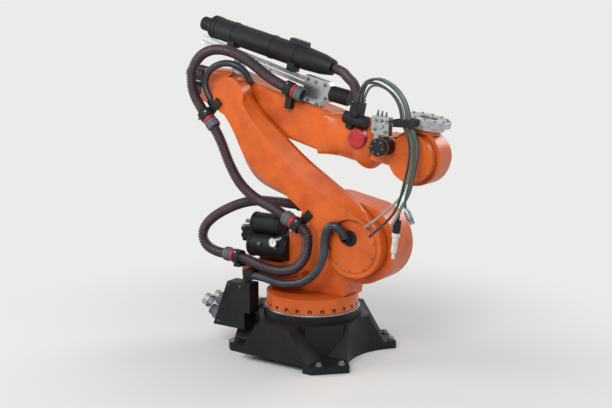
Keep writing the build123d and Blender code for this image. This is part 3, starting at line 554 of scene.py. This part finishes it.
# The straight stretch of hose that each clamp holds, and the body that carries the clamp
COLUMN_RUN = [Vector((-450, -192, 542)), Vector((-335, -192, 530))]
LINK_RUN = [on_link(235, -135, -192), on_link(365, -178, -192)]
HEAD_RUN = [on_link(LINK_LENGTH - 30, -178, -192), on_link(LINK_LENGTH + 80, -172, -192)]
ARM_RUN = [on_arm(330, 142, 116), on_arm(430, 128, 110)]
RUNS = [COLUMN_RUN, LINK_RUN, HEAD_RUN, ARM_RUN]
CLAMPS = [(start + end) / 2 for start, end in RUNS]
CLAMP_WAYS = [(end - start).normalized() for start, end in RUNS]
CLAMP_BODIES = ["column", "link_arm_group", "link_arm_group", "arm"]
RING_SIDES = [-1, 1, -1, 1]

# The line of the retracting tube, and where the hose goes into the outlet on the wrist
TUBE_FRONT = on_arm(560, 292, -20)
TUBE_REAR = on_arm(-395, 350, -20)
TUBE_WAY = (TUBE_FRONT - TUBE_REAR).normalized()
OUTLET_REAR = -394


class ROBOT_OT_hoses(bpy.types.Operator):
    """Lays the ribbed hoses and the smooth cables across the joints"""

    bl_idname = "robot.hoses"
    bl_label = "Hoses"

    def execute(self, context):
        settings = context.scene.robot_arm
        column_clamp, link_clamp, head_clamp, arm_clamp = CLAMPS
        column_hose = [(-80.3, -22, 852), (-134, -22, 852), (-204, -52, 860), (-285, -95, 866),
                       (-380, -104, 856), (-493, -135, 815), (-618, -170, 738), (-668, -192, 655),
                       (-645, -192, 580), (-560, -192, 545), COLUMN_RUN[0], column_clamp]
        shoulder_hose = [column_clamp, COLUMN_RUN[1], (-220, -192, 496), (-100, -192, 484),
                         (10, -192, 512), (80, -192, 590), (92, -192, 680), LINK_RUN[0], link_clamp]
        link_hose = [link_clamp, LINK_RUN[1], on_link(480, -212, -192), on_link(600, -270, -192),
                     on_link(735, -290, -192), on_link(870, -258, -192), on_link(1000, -202, -192),
                     HEAD_RUN[0], head_clamp]
        elbow_hose = [head_clamp, HEAD_RUN[1], on_arm(-250, -20, 186), on_arm(-282, 90, 178),
                      on_arm(-240, 195, 168), on_arm(-140, 252, 158), on_arm(-10, 255, 146),
                      on_arm(110, 222, 134), on_arm(230, 168, 124), ARM_RUN[0], arm_clamp]
        wrist_hose = [TUBE_FRONT, TUBE_FRONT + TUBE_WAY * 62, on_wrist(-512, 307, 22),
                      on_wrist(-452, 290, 44), on_wrist(OUTLET_REAR, 225, 72)]
        for node, points, diameter in (("column_hose", column_hose, 60),
                                       ("link_hose", link_hose, 60)):
            show_piece(node + "_ribbed", ribbed_hose(node + "_ribbed", points, diameter, settings),
                       "hose", BODY_OF[node], "hose_plastic", node)
        for node, points, diameter, first, second in (
            ("shoulder_hose", shoulder_hose, 60, "column", "link_arm_group"),
            ("elbow_hose", elbow_hose, 60, "link_arm_group", "arm"),
            ("wrist_hose", wrist_hose, 56, "arm", "wrist"),
        ):
            piece = show_piece(node + "_ribbed",
                               ribbed_hose(node + "_ribbed", points, diameter, settings), "hose",
                               None, "hose_plastic", node)
            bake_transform(piece)
        shoulder_cable = [(314, -158, 722), (303, -176, 760), (276, -192, 788), (240, -197, 788),
                          (215, -197, 752), (205, -197, 698), (205, -197, 618), (167, -197, 528),
                          (90, -197, 455), (-20, -197, 418), (-125, -197, 418), (-208, -197, 436),
                          (-279.7, -197, 436)]
        elbow_cable = [on_arm(-140, -58, 130), on_arm(-192, -8, 130), on_arm(-210, 58, 130),
                       on_arm(-176, 124, 130), on_arm(-114, 168, 128), on_arm(-52, 184, 120),
                       on_arm(4, 172, 96), on_arm(42, 142, 68), on_arm(66, 96, 44)]
        for node, points, diameter, first, second in (
            ("shoulder_cable", shoulder_cable, 46, "link_arm_group", "column"),
            ("elbow_cable", elbow_cable, 40, "link_arm_group", "arm"),
        ):
            piece = show_piece(node + "_jacket", smooth_tube(node + "_jacket", points, diameter),
                               "cable_jacket", None, "cable_sheath", node)
            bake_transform(piece)
        return {"FINISHED"}


class ROBOT_OT_clamps(bpy.types.Operator):
    """Dresses the hose clamps with their rings, sleeves and bolts"""

    bl_idname = "robot.clamps"
    bl_label = "Hose clamps"

    def execute(self, context):
        for node in ("column_hose_clamp", "link_hose_clamp", "head_hose_clamp", "arm_hose_clamp"):
            dress_node(node, "moulded_black", 2.5)
        for node in ("column_red_ring", "link_red_rings", "arm_red_ring"):
            dress_node(node, "red_acetal", 2.5)
        for step, (clamp, way, body, side) in enumerate(zip(CLAMPS, CLAMP_WAYS, CLAMP_BODIES,
                                                            RING_SIDES)):
            sleeve = bmesh.new()
            out = way * side
            bore = 30.5
            add_ring(sleeve, clamp + out * 49, out, bore, 39, 46)
            for collar in (60, 78):
                add_ring(sleeve, clamp + out * collar, out, bore, 42, 8)
            name = f"hose_sleeve_{step + 1}"
            soften(show_piece(name, close_mesh(name, sleeve), "grey_rubber", body,
                              "black_plastic"), 1.2)
            screws = bmesh.new()
            across = way.cross(SIDEWAYS).normalized()
            for end in (-1, 1):
                add_cap_screw(screws, clamp + across * 30 * end - SIDEWAYS * 32,
                              across * end * 0.7 - SIDEWAYS, 7, 9)
            name = f"clamp_screws_{step + 1}"
            soften(show_piece(name, close_mesh(name, screws), "zinc_steel", body,
                              "bare_aluminium"), 0.6)
        return {"FINISHED"}


class ROBOT_OT_supply_tube(bpy.types.Operator):
    """Dresses the retracting tube, its rail, bracket and guide"""

    bl_idname = "robot.supply_tube"
    bl_label = "Retracting tube"

    def execute(self, context):
        dress_node("retract_tube", "moulded_black", 4.0)
        dress_node("guide_rail", "milled_aluminium", 2.0)
        dress_node("rail_bracket", "milled_aluminium", 4.0)
        dress_node("tube_carriers", "plate_enamel", 2.0)
        dress_node("hose_guide", "moulded_black", 3.0)
        tube_radius = 64
        bands = bmesh.new()
        for distance, width in ((84, 14), (118, 8), (236, 22), (520, 22), (700, 14)):
            add_ring(bands, TUBE_REAR + TUBE_WAY * distance, TUBE_WAY, tube_radius, tube_radius + 5,
                     width, steps=64)
        for distance in (6, 20, 34, 48):
            add_ring(bands, TUBE_REAR + TUBE_WAY * distance, TUBE_WAY, 36, 42, 6)
        soften(show_piece("tube_bands", close_mesh("tube_bands", bands), "moulded_black", "arm",
                          "black_plastic"), 1.2)
        ribs = bmesh.new()
        for distance in range(10, 120, 16):
            add_ring(ribs, on_arm(600 + distance, 158, 16), ARM_WAY, 38, 45, 8)
        soften(show_piece("guide_ribs", close_mesh("guide_ribs", ribs), "moulded_black", "arm",
                          "black_plastic"), 1.2)
        screws = bmesh.new()
        for along, up in ((444, 206), (500, 200), (560, 196), (450, 128), (520, 122), (580, 124),
                          (466, 84), (530, 80)):
            add_bolt(screws, on_arm(along, up, 42), -SIDEWAYS, 8, 10)
        rail_start = -375
        rail_length = 793
        rail_rear_up = 253
        rail_fall = 73
        for along in (-60, 160, 350):
            rise = rail_rear_up - rail_fall * (along - rail_start) / rail_length
            for lift in (-15, 15):
                add_cap_screw(screws, on_arm(along, rise + lift, 8), -SIDEWAYS, 6, 5)
        soften(show_piece("rail_screws", close_mesh("rail_screws", screws), "zinc_steel", "arm",
                          "bare_aluminium"), 0.8)
        return {"FINISHED"}


# The cables lie side by side in lanes, out of the outlet, over the wrist and through the tie
CABLE_SPACING = 16
CABLE_RADIUS = 7
CABLE_START_NEAR = 110
CABLE_TIE_NEAR = 158
TIE_AHEAD = 19
TIE_HEIGHT = 191
LOOP_MIDDLE = Vector((-200, 191))
CABLE_LOOP = [(-352, 268), (-336, 326), (-300, 354), (-255, 368), (-198, 362), (-137, 341),
              (-82, 301), (-46, 252)]
CABLE_FALL = [(66, 113), (72, 13), (52, -87), (30, -187)]


def cable_route(lane, inset, tail):
    """Up over the wrist, through the tie and down to the cable's own tail."""
    near_start = CABLE_START_NEAR + lane * CABLE_SPACING
    near_tie = CABLE_TIE_NEAR + lane * CABLE_SPACING
    points = [on_wrist(-352, 214.5, near_start)]
    for step, (ahead, up) in enumerate(CABLE_LOOP, start=1):
        near = near_start + (near_tie - near_start) * step / (len(CABLE_LOOP) + 1)
        reach = Vector((ahead, up)) - LOOP_MIDDLE
        reach = reach * (1 - inset * min(step, 4) / 4 / reach.length)
        points.append(on_wrist(LOOP_MIDDLE.x + reach.x, LOOP_MIDDLE.y + reach.y, near))
    points.append(under_wrist(TIE_AHEAD - inset, near_tie, TIE_HEIGHT))
    for step, (ahead, height) in enumerate(CABLE_FALL, start=1):
        points.append(under_wrist(ahead - inset, near_tie + step * 5, height))
    return points + [under_wrist(ahead, near_tie + side, height) for ahead, side, height in tail]


class ROBOT_OT_cables(bpy.types.Operator):
    """Lays the thin cables over the wrist, with their plugs"""

    bl_idname = "robot.cables"
    bl_label = "Cables"

    def execute(self, context):
        white_plug = dress_node("white_plug", "pale_nylon", 1.5)
        silver_plug = dress_node("silver_plug", "zinc_steel", 1.5)
        dress_node("cable_tie", "moulded_black", 1.0)
        dress_node("cable_outlet", "moulded_black", 3.0)
        sleeve = bmesh.new()
        plug_top = under_wrist(-27, 190, -318)
        plug_way = Vector((-0.12, 0, -1)).normalized()
        add_ring(sleeve, plug_top, plug_way, 8, 21, 66, steps=32)
        plug_sleeve = show_piece("plug_sleeve", close_mesh("plug_sleeve", sleeve), "moulded_black",
                                 "wrist", "black_plastic")
        soften(plug_sleeve, 1.5)
        cables = {
            "outer_cable": (0, 0, "dark_sheath", "plug",
                            [(-16, 32, -254), (-25, 32, -322), (-34.6, 32, -384)],
                            [white_plug, plug_sleeve]),
            "grey_cable": (1, 0, "grey_sheath", "bare",
                           [(-4, 26, -258), (-20, 46, -300), (-44, 58, -350)], []),
            "green_cable": (2, 0, "green_sheath", "plug", [(24, 22, -230), (30, 22, -249)],
                            [silver_plug]),
            "cream_cable": (-1, 44, "cream_sheath", "bare",
                            [(-50, 44, -232), (-100, 56, -286), (-156, 64, -330),
                             (-214, 68, -372)], []),
            "black_cable": (3, 22, "dark_sheath", "bare",
                            [(-22, 14, -262), (-74, 10, -322), (-132, 8, -374),
                             (-184, 6, -420)], []),
        }
        for name, (lane, inset, finish, far_end, tail, plugs) in cables.items():
            points = cable_route(lane, inset, tail)
            curve = route_curve(name + "_sheath", points)
            length = line_length(curve)
            curve.bevel_depth = CABLE_RADIUS * MM
            curve.bevel_resolution = 5
            curve.use_fill_caps = True
            cable = show_piece(name + "_sheath", curve, finish, "wrist", "cable_sheath", name)
        return {"FINISHED"}


class ROBOT_OT_wrist_fittings(bpy.types.Operator):
    """Dresses the fittings on the wrist and the tool flange"""

    bl_idname = "robot.wrist_fittings"
    bl_label = "Wrist fittings"

    def execute(self, context):
        dress_node("hose_holder", "moulded_black", 4.0)
        dress_node("red_disc", "red_acetal", 3.0)
        dress_node("valve_block", "milled_aluminium", 3.0)
        dress_node("valve_bracket", "milled_aluminium", 1.5)
        dress_node("rotary_coupling", "moulded_black", 3.0)
        dress_node("mounting_flange", "milled_aluminium", 1.5)
        dress_node("adaptor_plate", "milled_aluminium", 1.5)
        bands = bmesh.new()
        coupling = on_wrist(-144, 32, 118)
        add_ring(bands, coupling - SIDEWAYS * 70, -SIDEWAYS, 46, 49, 18)
        for place in circle_points(coupling - SIDEWAYS * 112, ARM_WAY, ARM_UP, 34, 6):
            add_cap_screw(bands, place, -SIDEWAYS, 5, 5)
        for ahead, up in ((-205, 160), (-172, 164), (-140, 168), (-204, 112), (-140, 112)):
            add_bolt(bands, on_wrist(ahead, up, 182), -SIDEWAYS, 7, 9)
        for ahead in (-215, -190, -165):
            add_drum(bands, on_wrist(ahead, 172, 160), ARM_UP, 8, 26, sides=6)
            add_drum(bands, on_wrist(ahead, 196, 160), ARM_UP, 5, 16, sides=16)
        soften(show_piece("wrist_fasteners", close_mesh("wrist_fasteners", bands), "zinc_steel",
                          "wrist", "bare_aluminium"), 0.7)
        flange_rise = 215
        screw_circle = 106
        screws = bmesh.new()
        for place in circle_points(WRIST + ARM_UP * flange_rise, ARM_WAY, SIDEWAYS, screw_circle, 12,
                                   radians(15)):
            add_cap_screw(screws, place, ARM_UP, 7, 6)
        soften(show_piece("flange_screws", close_mesh("flange_screws", screws), "zinc_steel",
                          "flange", "bare_aluminium"), 0.6)
        return {"FINISHED"}


def seen_share(tree, share):
    """The share of the backdrop for rays that look at it, directly or in a reflection."""
    ray = add_node(tree, "ShaderNodeLightPath")
    direct = add_node(tree, "ShaderNodeMath", {0: ray.outputs["Is Camera Ray"],
                                               1: ray.outputs["Is Glossy Ray"]},
                      operation="MAXIMUM")
    every = add_node(tree, "ShaderNodeMath", {0: direct.outputs[0],
                                              1: ray.outputs["Is Transmission Ray"]},
                     operation="MAXIMUM")
    return add_node(tree, "ShaderNodeMath", {0: every.outputs[0], 1: share},
                    operation="MULTIPLY").outputs[0]


class ROBOT_OT_stage(bpy.types.Operator):
    """Sets the pale floor, the soft light and the camera"""

    bl_idname = "robot.stage"
    bl_label = "Stage"

    def execute(self, context):
        scene = context.scene
        scene.view_settings.view_transform = "Standard"
        backdrop = linear("#EBEBE9")
        work = bmesh.new()
        floor_reach = 30
        bmesh.ops.create_grid(work, x_segments=1, y_segments=1, size=floor_reach)
        mesh = bpy.data.meshes.new("studio_floor")
        work.to_mesh(mesh)
        work.free()
        floor = bpy.data.objects.new("studio_floor", mesh)
        scene.collection.objects.link(floor)
        paint = bpy.data.materials.new("matt_floor_paint")
        paint.use_nodes = True
        tree = paint.node_tree
        shader = tree.nodes["Principled BSDF"]
        shader.inputs["Base Color"].default_value = (*linear("#DADAD8"), 1)
        shader.inputs["Roughness"].default_value = 0.85
        # Far from the arm the floor turns into the backdrop, where it is looked at
        place = add_node(tree, "ShaderNodeTexCoord").outputs["Object"]
        distance = add_node(tree, "ShaderNodeVectorMath", {0: place}, operation="LENGTH")
        far = add_node(tree, "ShaderNodeMapRange",
                       {"Value": distance.outputs["Value"], "From Min": 0.9, "From Max": 2.6},
                       interpolation_type="SMOOTHSTEP")
        look = seen_share(tree, far.outputs[0])
        glow = add_node(tree, "ShaderNodeEmission", {"Color": (*backdrop, 1), "Strength": 1.0})
        blend = add_node(tree, "ShaderNodeMixShader", {0: look, 1: shader.outputs[0],
                                                       2: glow.outputs[0]})
        tree.links.new(blend.outputs[0], tree.nodes["Material Output"].inputs["Surface"])
        mesh.materials.append(paint)
        world = bpy.data.worlds.new("studio_sky")
        scene.world = world
        world.use_nodes = True
        tree = world.node_tree
        tree.nodes.clear()
        seen = add_node(tree, "ShaderNodeBackground", {"Color": (*backdrop, 1), "Strength": 1.0})
        light = add_node(tree, "ShaderNodeBackground",
                         {"Color": (*linear("#F4F7FA"), 1), "Strength": 0.42})
        both = add_node(tree, "ShaderNodeMixShader",
                        {0: seen_share(tree, 1.0), 1: light.outputs[0], 2: seen.outputs[0]})
        add_node(tree, "ShaderNodeOutputWorld", {"Surface": both.outputs[0]})
        for name, place, watts, size in (("key_light", (1.0, -4.2, 3.6), 150, 2.2),
                                         ("side_light", (-3.6, -1.8, 2.6), 75, 2.0),
                                         ("back_light", (2.0, 3.4, 3.4), 90, 2.0)):
            lamp = bpy.data.lights.new(name, "AREA")
            lamp.energy = watts
            lamp.size = size
            holder = bpy.data.objects.new(name, lamp)
            holder.location = place
            aim = Vector((0, 0, 0.9)) - Vector(place)
            holder.rotation_euler = aim.to_track_quat("-Z", "Y").to_euler()
            scene.collection.objects.link(holder)
        # The place, turn and lens were fitted to the joints and the base frame
        camera_drop = radians(9.39)
        camera_turn = radians(34.04)
        lens = bpy.data.cameras.new("photo_camera")
        lens.lens = 57.8
        lens.sensor_width = 36
        lens.shift_x = 0.01635
        lens.shift_y = -0.0024
        camera = bpy.data.objects.new("photo_camera", lens)
        camera.location = (3.0420, -4.6746, 1.7892)
        camera.rotation_euler = (radians(90) - camera_drop, 0, camera_turn)
        scene.collection.objects.link(camera)
        scene.camera = camera
        return {"FINISHED"}


OPERATORS = (ROBOT_OT_castings, ROBOT_OT_base, ROBOT_OT_drives, ROBOT_OT_hoses, ROBOT_OT_clamps,
             ROBOT_OT_supply_tube, ROBOT_OT_cables, ROBOT_OT_wrist_fittings, ROBOT_OT_stage)


class ROBOT_PT_panel(bpy.types.Panel):
    """Sizes, colours and groups of the robot arm"""

    bl_idname = "ROBOT_PT_panel"
    bl_label = "Robot arm"
    bl_space_type = "VIEW_3D"
    bl_region_type = "UI"
    bl_category = "Robot arm"

    def draw(self, context):
        settings = context.scene.robot_arm
        for name in ("enamel", "plate", "hose", "rib_pitch", "rib_depth", "hose_sides",
                     "casting_edge"):
            self.layout.prop(settings, name)
        for operator in OPERATORS:
            self.layout.operator(operator.bl_idname)


CLASSES = (RobotArmSettings, *OPERATORS, ROBOT_PT_panel)


def register():
    for each in CLASSES:
        bpy.utils.register_class(each)
    bpy.types.Scene.robot_arm = PointerProperty(type=RobotArmSettings)


def unregister():
    del bpy.types.Scene.robot_arm
    for each in reversed(CLASSES):
        bpy.utils.unregister_class(each)


def main():
    """Registers the add-on and builds every group in order."""
    register()
    FINISHES.update(make_finishes(bpy.context.scene.robot_arm))
    for operator in OPERATORS:
        group, name = operator.bl_idname.split(".")
        getattr(getattr(bpy.ops, group), name)()


if __name__ == "__main__":
    main()
